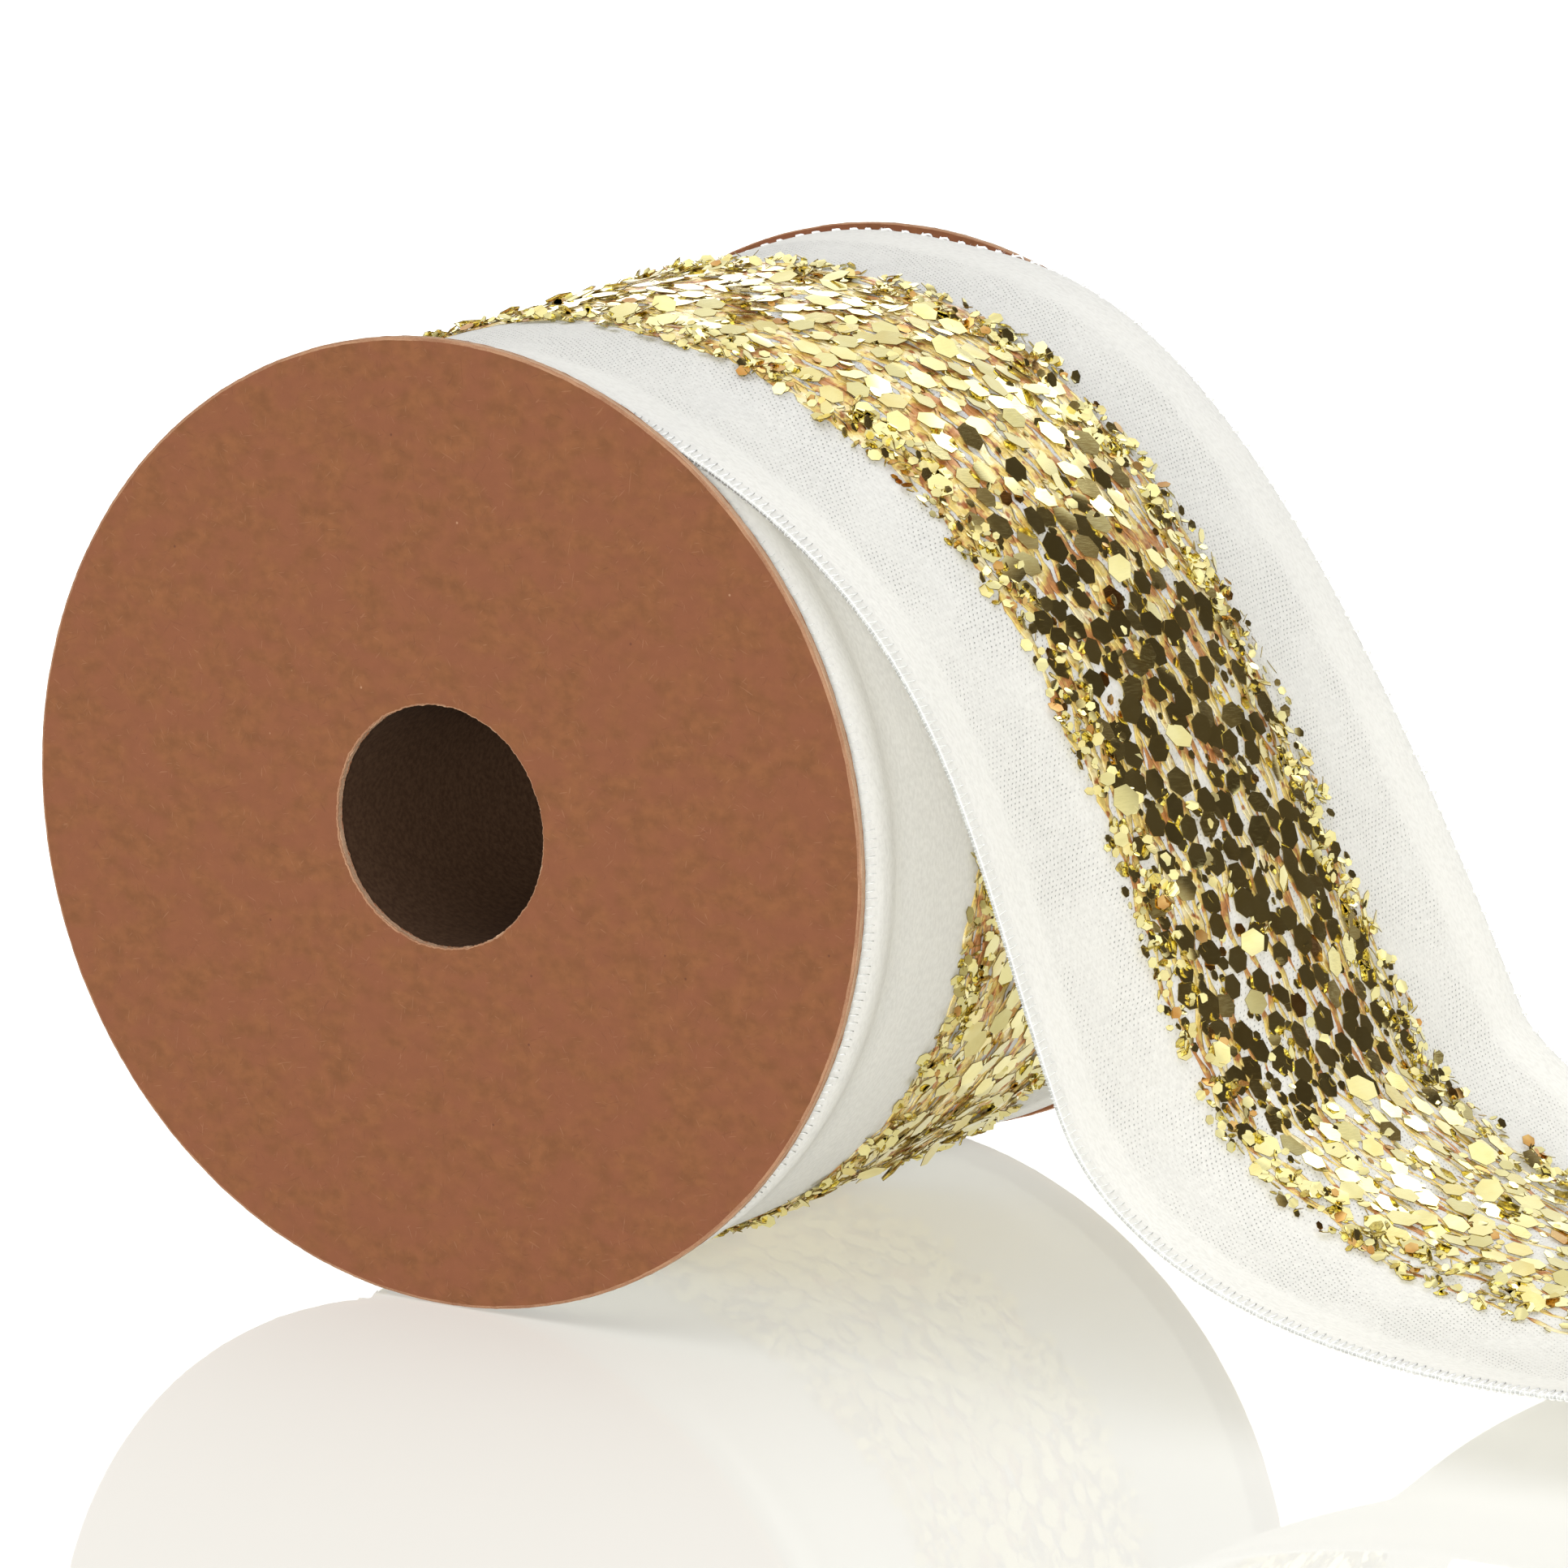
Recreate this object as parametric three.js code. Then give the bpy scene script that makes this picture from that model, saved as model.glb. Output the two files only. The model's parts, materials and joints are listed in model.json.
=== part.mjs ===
// Ribbon spool: two kraft-faced board discs on a paper tube, wound with wired glitter ribbon.
// Millimetres, +Z up. The spool lies on its rims with its axis along Y, its front disc towards -Y,
// and the loose end of the ribbon runs off towards +X. The origin is the bottom centre of the whole.
import * as THREE from 'three';

// ---- driving dimensions ----
const FLANGE_DIAMETER = 76.2;
const BORE_DIAMETER = 19.05;
const BOARD_THICKNESS = 0.45;
const FACING_THICKNESS = 0.15;
const INSIDE_WIDTH = 67.1;

const CORE_BORE_DIAMETER = 19.6;
const CORE_INNER_PLY = 0.6;
const CORE_OUTER_PLY = 0.8;
const GLUE_LEG_AXIAL = 1;
const GLUE_LEG_RADIAL = 2;
const TAPE_THICKNESS = 0.2;
const TAPE_WIDTH = 20;
const TAPE_STEPS = 14;

const RIBBON_WIDTH = 63.5;
const BAND_WIDTH = 31;
const BAND_RISE = 0.3;
const WOUND_RADIUS = 34.9;
const EDGE_WIRE_WIDTH = 0.4;

const LOOSE_FABRIC_THICKNESS = 0.3;
const LOOSE_WIRE_THICKNESS = 0.3;
const LOOSE_TURN_RADIUS = 35.9;
const LOOSE_TURN_GROWTH = 0.7;
const LOOSE_TURN_SLACK = 0.45;
const LOOSE_TURN_SAG = 0.5;
const TAIL_REACH = 122;

const TURN_STEPS = 60;
const TURN_STEP_ANGLE = (2 * Math.PI) / TURN_STEPS;
const LOOSE_TURN_START = Math.PI / 3;
const LOOSE_TURN_STEPS = 58;

// ---- derived sizes ----
const flangeRadius = FLANGE_DIAMETER / 2;
const boreRadius = BORE_DIAMETER / 2;
// The discs rest on a flat of their faceted rims.
const flangeFlatRadius = flangeRadius * Math.cos(TURN_STEP_ANGLE / 2);
const coreInnerRadius = CORE_BORE_DIAMETER / 2;
const corePlyRadius = coreInnerRadius + CORE_INNER_PLY;
const coreOuterRadius = corePlyRadius + CORE_OUTER_PLY;
const insideHalf = INSIDE_WIDTH / 2;
const ribbonHalf = RIBBON_WIDTH / 2;
const bandHalf = BAND_WIDTH / 2;

// ---- materials ----
const kraftPaper = new THREE.MeshStandardMaterial({ color: 0x9c6446, roughness: 0.9, metalness: 0 });
const greyBoard = new THREE.MeshStandardMaterial({ color: 0xc09a72, roughness: 0.95, metalness: 0 });
const corePaper = new THREE.MeshStandardMaterial({ color: 0x54402f, roughness: 0.95, metalness: 0 });
const hotGlue = new THREE.MeshStandardMaterial({ color: 0xe6dcc0, roughness: 0.4, metalness: 0 });
const clearTape = new THREE.MeshStandardMaterial({ color: 0xe9e4cf, roughness: 0.2, metalness: 0 });
const whiteCloth = new THREE.MeshStandardMaterial({ color: 0xf1f1ec, roughness: 0.85, metalness: 0 });
const goldFlake = new THREE.MeshStandardMaterial({ color: 0xd9b75a, roughness: 0.2, metalness: 1 });
const edgeWire = new THREE.MeshStandardMaterial({ color: 0x9aa09c, roughness: 0.4, metalness: 1 });

function addMesh(group, name, geometry, material) {
  const mesh = new THREE.Mesh(geometry, material);
  mesh.name = name;
  group.add(mesh);
}

// A closed outline in (radius, y), turned about the Y axis.
function turned(outline) {
  const points = [...outline, outline[0]].map(([radius, y]) => new THREE.Vector2(radius, y));
  return new THREE.LatheGeometry(points, TURN_STEPS, TURN_STEP_ANGLE / 2);
}

function ring(innerRadius, outerRadius, yLow, yHigh) {
  return turned([
    [innerRadius, yLow],
    [outerRadius, yLow],
    [outerRadius, yHigh],
    [innerRadius, yHigh],
  ]);
}

// A flat outline in (x, z), given as THREE.Vector2, drawn out along Y from yLow to yHigh.
function drawnAlongY(outline, yLow, yHigh) {
  const geometry = new THREE.ExtrudeGeometry(new THREE.Shape(outline), {
    depth: yHigh - yLow,
    bevelEnabled: false,
  });
  geometry.rotateX(Math.PI / 2);
  geometry.translate(0, yHigh, 0);
  return geometry;
}

// ---- flanges: a board between two kraft facings; side is -1 at the front and +1 at the rear ----
function addFlange(group, label, side) {
  const between = (nearDepth, farDepth) => {
    const ends = [side * (insideHalf + nearDepth), side * (insideHalf + farDepth)];
    return ring(boreRadius, flangeRadius, Math.min(...ends), Math.max(...ends));
  };
  const boardStart = FACING_THICKNESS;
  const boardEnd = boardStart + BOARD_THICKNESS;
  addMesh(group, `${label}_inner_facing`, between(0, boardStart), kraftPaper);
  addMesh(group, `${label}_flange_board`, between(boardStart, boardEnd), greyBoard);
  addMesh(group, `${label}_outer_facing`, between(boardEnd, boardEnd + FACING_THICKNESS), kraftPaper);
}

// ---- core tube, the glue that holds the flanges on it and the tape that holds the ribbon ----
function addCore(group) {
  addMesh(group, 'core_inner_ply', ring(coreInnerRadius, corePlyRadius, -insideHalf, insideHalf), corePaper);
  addMesh(group, 'core_outer_ply', ring(corePlyRadius, coreOuterRadius, -insideHalf, insideHalf), corePaper);
  for (const [label, side] of [['front', -1], ['rear', 1]]) {
    // A three-cornered fillet between the tube and the disc.
    const fillet = [
      [coreOuterRadius, side * insideHalf],
      [coreOuterRadius, side * (insideHalf - GLUE_LEG_AXIAL)],
      [coreOuterRadius + GLUE_LEG_RADIAL, side * insideHalf],
    ];
    addMesh(group, `${label}_glue_ring`, turned(side < 0 ? fillet.reverse() : fillet), hotGlue);
  }
  addMesh(group, 'start_tape', tapeStrip(), clearTape);
}

function tapeStrip() {
  const arc = (radius, step) => {
    const angle = (step + 0.5) * TURN_STEP_ANGLE;
    return new THREE.Vector2(radius * Math.cos(angle), radius * Math.sin(angle));
  };
  const steps = Array.from({ length: TAPE_STEPS + 1 }, (_, step) => step);
  const inside = steps.map((step) => arc(coreOuterRadius, step));
  const outside = steps.map((step) => arc(coreOuterRadius + TAPE_THICKNESS, step));
  return drawnAlongY([...inside, ...outside.reverse()], -TAPE_WIDTH / 2, TAPE_WIDTH / 2);
}

// ---- ribbon wound on the core: cloth, its two spirals of edge wire and the glitter on its last layer ----
function addWoundRibbon(group) {
  const innerRadius = coreOuterRadius + TAPE_THICKNESS;
  const clothHalf = ribbonHalf - EDGE_WIRE_WIDTH;
  addMesh(group, 'wound_ribbon_fabric', ring(innerRadius, WOUND_RADIUS, -clothHalf, clothHalf), whiteCloth);
  addMesh(group, 'wound_glitter_band', ring(WOUND_RADIUS, WOUND_RADIUS + BAND_RISE, -bandHalf, bandHalf), goldFlake);
  addMesh(group, 'wound_front_edge_wire', ring(innerRadius, WOUND_RADIUS, -ribbonHalf, -clothHalf), edgeWire);
  addMesh(group, 'wound_rear_edge_wire', ring(innerRadius, WOUND_RADIUS, clothHalf, ribbonHalf), edgeWire);
}

// ---- loose turn and tail ----
// The middle line of the cloth, in (x, z) from the spool's axis. It starts on the roll under its own tail,
// goes right round it, slacker below and to the right, stands off it near the top, falls in an S and
// flattens out on the table.
function looseLine() {
  const turnPoint = (step) => {
    const angle = LOOSE_TURN_START - step * TURN_STEP_ANGLE;
    const radius = LOOSE_TURN_RADIUS + (LOOSE_TURN_GROWTH * step) / TURN_STEPS;
    return new THREE.Vector2(
      LOOSE_TURN_SLACK + radius * Math.cos(angle),
      -LOOSE_TURN_SAG + radius * Math.sin(angle),
    );
  };
  const points = Array.from({ length: LOOSE_TURN_STEPS }, (_, step) => turnPoint(step));
  const restHeight = LOOSE_FABRIC_THICKNESS / 2 - flangeFlatRadius;
  const lift = turnPoint(LOOSE_TURN_STEPS);
  const fall = new THREE.Vector2(56.6, -18.2);
  const foot = new THREE.Vector2(95.2, -33.7);
  const end = new THREE.Vector2(TAIL_REACH, restHeight);
  const liftWay = lift.clone().sub(points[points.length - 1]).normalize();
  const fallWay = new THREE.Vector2(0.396, -0.918);
  const footWay = new THREE.Vector2(1, -0.067);
  const endWay = new THREE.Vector2(1, 0);
  const stretches = [
    [lift, liftWay, 24, fallWay, 42, fall, 22],
    [fall, fallWay, 8, footWay, 20, foot, 16],
    [foot, footWay, 9, endWay, 8, end, 8],
  ];
  for (const [start, startWay, startPull, stopWay, stopPull, stop, steps] of stretches) {
    const curve = new THREE.CubicBezierCurve(
      start,
      start.clone().addScaledVector(startWay, startPull),
      stop.clone().addScaledVector(stopWay, -stopPull),
      stop,
    );
    points.push(...curve.getSpacedPoints(steps).slice(0, -1));
  }
  points.push(end);
  return points;
}

// Points at one distance to the left of a line's direction of travel; left is the outside of the turn.
function offsetLine(line, distance) {
  return line.map((point, index) => {
    const before = line[Math.max(index - 1, 0)];
    const after = line[Math.min(index + 1, line.length - 1)];
    const along = after.clone().sub(before).normalize();
    return new THREE.Vector2(point.x - along.y * distance, point.y + along.x * distance);
  });
}

function strip(line, lowOffset, highOffset, yLow, yHigh) {
  const under = offsetLine(line, lowOffset);
  const over = offsetLine(line, highOffset);
  return drawnAlongY([...under, ...over.reverse()], yLow, yHigh);
}

function addLooseRibbon(group) {
  const line = looseLine();
  const clothTop = LOOSE_FABRIC_THICKNESS / 2;
  const wireTop = LOOSE_WIRE_THICKNESS / 2;
  const clothHalf = ribbonHalf - EDGE_WIRE_WIDTH;
  addMesh(group, 'loose_ribbon_fabric', strip(line, -clothTop, clothTop, -clothHalf, clothHalf), whiteCloth);
  addMesh(group, 'loose_glitter_band', strip(line, clothTop, clothTop + BAND_RISE, -bandHalf, bandHalf), goldFlake);
  addMesh(group, 'loose_front_edge_wire', strip(line, -wireTop, wireTop, -ribbonHalf, -clothHalf), edgeWire);
  addMesh(group, 'loose_rear_edge_wire', strip(line, -wireTop, wireTop, clothHalf, ribbonHalf), edgeWire);
}

// ---- assembly: both groups are placed on the spool's axis ----
const spool = new THREE.Group();
addFlange(spool, 'front', -1);
addFlange(spool, 'rear', 1);
addCore(spool);
addWoundRibbon(spool);

const looseRibbon = new THREE.Group();
addLooseRibbon(looseRibbon);

const assembly = new THREE.Group();
assembly.add(spool, looseRibbon);
const onAxis = new THREE.Group();
onAxis.position.set((flangeFlatRadius - TAIL_REACH) / 2, 0, flangeFlatRadius);
onAxis.add(assembly);

const group = new THREE.Group();
group.add(onAxis);
export default group;
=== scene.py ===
"""The looks of the ribbon spool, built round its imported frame. Metres, +Z up, the spool's axis along Y."""
import json
import math

import bpy
import numpy as np
from mathutils import Matrix, Vector


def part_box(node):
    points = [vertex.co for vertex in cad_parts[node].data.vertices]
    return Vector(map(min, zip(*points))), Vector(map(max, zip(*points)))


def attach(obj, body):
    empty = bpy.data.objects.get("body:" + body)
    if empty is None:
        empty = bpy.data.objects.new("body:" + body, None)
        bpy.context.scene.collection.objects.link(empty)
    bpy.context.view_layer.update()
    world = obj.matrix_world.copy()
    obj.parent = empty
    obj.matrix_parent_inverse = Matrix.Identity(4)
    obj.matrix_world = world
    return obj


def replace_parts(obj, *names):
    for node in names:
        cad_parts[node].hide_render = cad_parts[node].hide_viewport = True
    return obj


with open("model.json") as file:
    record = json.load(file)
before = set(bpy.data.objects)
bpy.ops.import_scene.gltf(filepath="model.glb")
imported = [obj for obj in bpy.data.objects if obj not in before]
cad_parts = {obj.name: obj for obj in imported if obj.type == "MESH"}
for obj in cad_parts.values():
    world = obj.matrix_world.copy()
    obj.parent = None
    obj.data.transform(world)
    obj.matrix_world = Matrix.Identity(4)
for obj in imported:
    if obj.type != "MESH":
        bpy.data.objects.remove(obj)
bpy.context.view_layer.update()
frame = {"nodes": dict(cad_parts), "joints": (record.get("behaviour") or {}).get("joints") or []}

# ---- sizes read from the frame ----
MM = 0.001
AXIS_X, _, AXIS_Z = frame["joints"][0]["pos_m"]


def radii(node):
    """The least and greatest distance of a CAD node's corners from the spool's axis."""
    corners = np.array([v.co for v in frame["nodes"][node].data.vertices])
    distance = np.hypot(corners[:, 0] - AXIS_X, corners[:, 2] - AXIS_Z)
    return distance.min(), distance.max()


def depths(node):
    """The least and greatest y of a CAD node."""
    low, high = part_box(node)
    return low.y, high.y


BORE_RADIUS = radii("front_flange_board")[0]
FLANGE_RADIUS = AXIS_Z - 0.02 * MM
OUTER_HALF = depths("rear_outer_facing")[1]
FLANGE_THICKNESS = OUTER_HALF - depths("rear_inner_facing")[0]
RIBBON_HALF = depths("loose_rear_edge_wire")[1]
BAND_HALF = depths("loose_glitter_band")[1]
WOUND_INNER, WOUND_OUTER = radii("wound_ribbon_fabric")
TAIL_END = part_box("loose_ribbon_fabric")[1].x - AXIS_X

# ---- sizes of the ribbon ----
RIBBON_LENGTH = 4.572
CLOTH_THICKNESS = 0.26 * MM
HEM_WIDTH = 4.4 * MM
HEM_SWELL = 0.12 * MM
HEM_STACK = 0.6 * MM

# The loose turn is a spiral about a centre that lies a little below the axis and towards the tail.
TURN_START = math.radians(60)
TURN_RADIUS = 35.9 * MM
TURN_GROWTH = 0.7 * MM
TURN_SLACK, TURN_SAG = 0.45 * MM, 0.5 * MM
REAR_RISE = 1.5 * MM

ARCH_RISE, ARCH_HALF = 1.9 * MM, 22 * MM
WIRE_RADIUS = 0.12 * MM
STITCH_RADIUS = 0.1 * MM
LEAST_HEIGHT = 0.01 * MM
WOUND_HEM_STACK = 0.2 * MM
LARGE_FLAKE = 1.24 * MM
FLAKE_THICKNESS = 0.06 * MM

# ---- the view ----
CAMERA_FROM_HUB = Vector((0.38752, -0.57026, 0.15324))
CAMERA_AZIMUTH, CAMERA_ELEVATION, CAMERA_ROLL = (math.radians(x) for x in (31.996, 12.266, 0.133))
CAMERA_LENS, CAMERA_SENSOR = 210.8, 36


# ======== materials ========
class Nodes:
    """A material's or world's node tree, with short calls for the nodes used here."""

    def __init__(self, owner):
        owner.use_nodes = True
        self.tree = owner.node_tree

    def add(self, kind, values=(), **settings):
        node = self.tree.nodes.new(kind)
        for name, value in settings.items():
            setattr(node, name, value)
        for key, value in dict(values).items():
            self.feed(node.inputs[key], value)
        return node

    def feed(self, socket, value):
        if isinstance(value, bpy.types.NodeSocket):
            self.tree.links.new(value, socket)
        else:
            socket.default_value = value

    def math(self, operation, first, second=0.0):
        return self.add("ShaderNodeMath", {0: first, 1: second}, operation=operation).outputs[0]

    def times(self, first, *others):
        for other in others:
            first = self.math("MULTIPLY", first, other)
        return first

    def plus(self, first, *others):
        for other in others:
            first = self.math("ADD", first, other)
        return first

    def step(self, value, start, stop, low=0.0, high=1.0):
        """A smooth change from low to high as value goes from start to stop."""
        values = {"Value": value, "From Min": start, "From Max": stop, "To Min": low, "To Max": high}
        return self.add("ShaderNodeMapRange", values, interpolation_type="SMOOTHSTEP").outputs[0]

    def mix(self, factor, first, second):
        values = {0: factor, 6: first, 7: second}
        return self.add("ShaderNodeMix", values, data_type="RGBA").outputs[2]

    def noise(self, place, scale, detail=2.0, roughness=0.5):
        values = {"Vector": place, "Scale": scale, "Detail": detail, "Roughness": roughness}
        return self.add("ShaderNodeTexNoise", values).outputs[0]

    def stretched(self, place, turn, scale, shift=(0, 0, 0)):
        """place turned, then scaled differently along each axis, for streaks and fibres."""
        turned = self.add("ShaderNodeMapping", {"Vector": place, "Rotation": turn}).outputs[0]
        values = {"Vector": turned, "Scale": scale, "Location": shift}
        return self.add("ShaderNodeMapping", values).outputs[0]

    def millimetres(self):
        """Object coordinates in millimetres."""
        place = self.add("ShaderNodeTexCoord").outputs["Object"]
        return self.add("ShaderNodeMapping", {"Vector": place, "Scale": (1000, 1000, 1000)}).outputs[0]

    def bump(self, height, strength, distance):
        values = {"Height": height, "Strength": strength, "Distance": distance}
        return self.add("ShaderNodeBump", values).outputs[0]


def material(name, **plain):
    """A new material, its nodes and its Principled shader, with plain values set on the shader's sockets."""
    made = bpy.data.materials.new(name)
    nodes = Nodes(made)
    shader = nodes.tree.nodes["Principled BSDF"]
    for key, value in plain.items():
        shader.inputs[key.replace("_", " ")].default_value = value
    return made, nodes, shader


def fibres(nodes, place, seed, width, length, share):
    """Fine fibres lying every way in the plane of the discs: 1 on a fibre and 0 off it."""
    total = 0.0
    for index in range(5):
        turn = (0, math.radians(36 * index + 11 * seed), 0)
        scale = (1 / length, 1, 1 / width)
        streaks = nodes.noise(nodes.stretched(place, turn, scale, (seed, index, 0)), 1.0, 1.0)
        total = nodes.math("MAXIMUM", total, nodes.step(streaks, share, share + 0.07))
    return total


def kraft_paper():
    made, nodes, shader = material("kraft_paper", Roughness=0.88, Specular_IOR_Level=0.25)
    place = nodes.millimetres()
    grain = nodes.noise(nodes.stretched(place, (0, 0, 0), (0.65, 0.9, 0.85)), 1.0, 4.0, 0.6)
    patches = nodes.noise(nodes.stretched(place, (0, 0, 0), (0.28, 0.2, 0.4)), 1.0, 3.0)
    light = fibres(nodes, place, 1, 0.16, 1.3, 0.73)
    dark = fibres(nodes, place, 2, 0.17, 1.6, 0.73)
    base = nodes.mix(nodes.step(grain, 0.26, 0.74), (0.159, 0.0632, 0.0262, 1), (0.219, 0.0863, 0.0356, 1))
    base = nodes.mix(nodes.step(patches, 0.35, 0.65, 0, 0.75), base, (0.198, 0.0715, 0.0358, 1))
    base = nodes.mix(nodes.times(light, 0.25), base, (0.36, 0.18, 0.1, 1))
    base = nodes.mix(nodes.times(dark, 0.3), base, (0.12, 0.043, 0.022, 1))
    for scale, size, tone in ((0.33, 0.05, (0.09, 0.032, 0.02, 1)), (0.45, 0.06, (0.42, 0.24, 0.14, 1))):
        cells = nodes.add("ShaderNodeTexVoronoi", {"Vector": place, "Scale": scale})
        rare = nodes.step(cells.outputs["Color"], 0.62, 0.64)
        speck = nodes.times(nodes.step(cells.outputs["Distance"], size, 0.4 * size), rare)
        base = nodes.mix(nodes.times(speck, 0.65), base, tone)
    nodes.feed(shader.inputs["Base Color"], base)
    height = nodes.plus(nodes.times(grain, 0.6), nodes.times(light, 0.35), nodes.times(dark, -0.35))
    nodes.feed(shader.inputs["Normal"], nodes.bump(height, 0.35, 0.06 * MM))
    return made


def cut_board(name, dark, light):
    """The cut edge of paper or board: thin layers along the disc's thickness, with short fibres."""
    made, nodes, shader = material(name, Roughness=0.95, Specular_IOR_Level=0.2)
    place = nodes.millimetres()
    layers = nodes.noise(nodes.stretched(place, (0, 0, 0), (0.35, 9, 0.35)), 1.0, 3.0, 0.6)
    grain = nodes.noise(place, 6.0, 3.0, 0.7)
    tone = nodes.plus(nodes.times(layers, 0.6), nodes.times(grain, 0.4))
    base = nodes.mix(nodes.step(tone, 0.33, 0.64), (*dark, 1), (*light, 1))
    nodes.feed(shader.inputs["Base Color"], base)
    nodes.feed(shader.inputs["Normal"], nodes.bump(tone, 0.6, 0.08 * MM))
    return made


def core_paper():
    """Brown core paper with the seam of its spiral winding. Its brown is partly the paper's own, and partly
    darkened as painted shade for the dim inside of the bore.
    """
    made, nodes, shader = material("core_paper", Roughness=0.92, Specular_IOR_Level=0.2)
    place = nodes.millimetres()
    parts = nodes.add("ShaderNodeSeparateXYZ", {0: place}).outputs
    right = nodes.math("SUBTRACT", parts[0], AXIS_X / MM)
    up = nodes.math("SUBTRACT", parts[2], AXIS_Z / MM)
    turn = nodes.times(nodes.math("ARCTAN2", up, right), 1 / (2 * math.pi))
    winding_pitch = 45
    strip = nodes.math("FRACT", nodes.plus(turn, nodes.times(parts[1], 1 / winding_pitch), 10))
    seam = nodes.step(nodes.math("ABSOLUTE", nodes.math("SUBTRACT", strip, 0.5)), 0.018, 0.006)
    grain = nodes.noise(place, 2.5, 4.0, 0.65)
    # Painted shade: the paper's brown is darker than the kraft's, for the dim inside of the bore.
    base = nodes.mix(nodes.step(grain, 0.3, 0.7), (0.044, 0.022, 0.012, 1), (0.074, 0.04, 0.022, 1))
    base = nodes.mix(nodes.times(seam, 0.7), base, (0.03, 0.018, 0.012, 1))
    nodes.feed(shader.inputs["Base Color"], base)
    height = nodes.math("SUBTRACT", nodes.times(grain, 0.4), seam)
    nodes.feed(shader.inputs["Normal"], nodes.bump(height, 0.5, 0.15 * MM))
    return made


def woven_cloth(name, white, hole_shade):
    """White plain weave. The UV map holds millimetres across the ribbon and along it."""
    made, nodes, shader = material(name, Roughness=0.9, Specular_IOR_Level=0.15, Sheen_Weight=0.1)
    place = nodes.add("ShaderNodeUVMap", uv_map="cloth").outputs[0]
    across, along, _ = nodes.add("ShaderNodeSeparateXYZ", {0: place}).outputs
    wander = nodes.times(nodes.math("SUBTRACT", nodes.noise(place, 0.3, 1.0), 0.5), 0.5)
    row_pitch, column_pitch = 0.38, 0.56
    row = nodes.times(nodes.plus(along, wander), 1 / row_pitch)
    column = nodes.plus(nodes.times(nodes.plus(across, wander), 1 / column_pitch), nodes.times(row, 0.5))
    gaps = []
    for count, sharpness in ((row, 4.0), (column, 6.0)):
        wave = nodes.math("COSINE", nodes.times(count, math.pi))
        gaps.append(nodes.math("POWER", nodes.times(wave, wave), sharpness))
    patches = nodes.step(nodes.noise(place, 0.16, 3.0, 0.6), 0.36, 0.6, 0.15, 1.0)
    picked = nodes.step(nodes.noise(place, 1.6, 1.0), 0.32, 0.5)
    inner = nodes.step(nodes.math("ABSOLUTE", across), 27.0, 25.4)
    backed = nodes.step(along, 90, 150)
    holes = nodes.times(gaps[0], gaps[1], picked, patches, inner, backed)
    knots = nodes.noise(nodes.stretched(place, (0, 0, 0), (3.4, 1.7, 1)), 1.0, 2.0, 0.6)
    slubs = nodes.noise(nodes.stretched(place, (0, 0, 0), (0.5, 0.16, 1)), 1.0, 2.0)
    level = nodes.plus(nodes.times(nodes.step(knots, 0.32, 0.68), 0.75), nodes.times(slubs, 0.5))
    # The hems are lighter than the middle: partly their denser weave, partly painted light for the lit hems
    # beside the shaded middle of the cloth.
    level = nodes.plus(level, nodes.times(nodes.math("SUBTRACT", 1.0, inner), 0.25))
    shade = nodes.mix(level, (*(0.86 * x for x in white), 1), (*white, 1))
    # Painted shade: the pinholes take a near-black colour for the dark seen through gaps in the weave.
    shade = nodes.mix(holes, shade, (*hole_shade, 1))
    nodes.feed(shader.inputs["Base Color"], shade)
    lumps = nodes.times(nodes.noise(place, 1.5, 1.0), nodes.math("SUBTRACT", 1.0, inner))
    height = nodes.plus(nodes.times(knots, 1.2), nodes.times(lumps, 3.0), nodes.times(holes, -1.5))
    nodes.feed(shader.inputs["Normal"], nodes.bump(height, 0.4, 0.06 * MM))
    # The light through the cloth is tinted cream: painted warm light for light bounced off the gold layers
    # and the kraft.
    glow = nodes.mix(0.3, shade, (1, 0.93, 0.8, 1))
    through = nodes.add("ShaderNodeBsdfTranslucent", {"Color": glow}).outputs[0]
    both = nodes.add("ShaderNodeMixShader", {0: 0.46, 1: shader.outputs[0], 2: through}).outputs[0]
    nodes.feed(nodes.tree.nodes["Material Output"].inputs["Surface"], both)
    return made


def thread(name, colour):
    """Twisted sewing thread: a fine lay with a little shade."""
    made, nodes, shader = material(name, Roughness=0.8, Specular_IOR_Level=0.25, Sheen_Weight=0.2)
    place = nodes.millimetres()
    lay = nodes.noise(nodes.stretched(place, (0.5, 0.7, 0.2), (5, 5, 16)), 1.0, 1.0)
    base = nodes.mix(nodes.step(lay, 0.3, 0.7), (*(0.86 * x for x in colour), 1), (*colour, 1))
    nodes.feed(shader.inputs["Base Color"], base)
    nodes.feed(shader.inputs["Normal"], nodes.bump(lay, 0.4, 0.03 * MM))
    return made


def grey_wire():
    made, nodes, shader = material("grey_wire", Metallic=0.6, Roughness=0.45)
    grain = nodes.noise(nodes.millimetres(), 1.8, 3.0)
    base = nodes.mix(nodes.step(grain, 0.3, 0.7), (0.5, 0.51, 0.49, 1), (0.72, 0.73, 0.7, 1))
    nodes.feed(shader.inputs["Base Color"], base)
    return made


def gold_film(name, dark, light, roughness):
    """Metallised film: a mirror with faint rolled lines and a slow drift of tone."""
    made, nodes, shader = material(name, Metallic=1.0)
    place = nodes.millimetres()
    drift = nodes.noise(place, 0.45, 2.0)
    lines = nodes.noise(nodes.stretched(place, (0.3, 0.6, 0.2), (1.2, 1.2, 9)), 1.0, 2.0)
    base = nodes.mix(nodes.step(drift, 0.35, 0.65), (*dark, 1), (*light, 1))
    nodes.feed(shader.inputs["Base Color"], base)
    nodes.feed(shader.inputs["Roughness"], nodes.step(lines, 0.35, 0.7, roughness, roughness + 0.08))
    nodes.feed(shader.inputs["Normal"], nodes.bump(lines, 0.05, 0.02 * MM))
    return made


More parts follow.
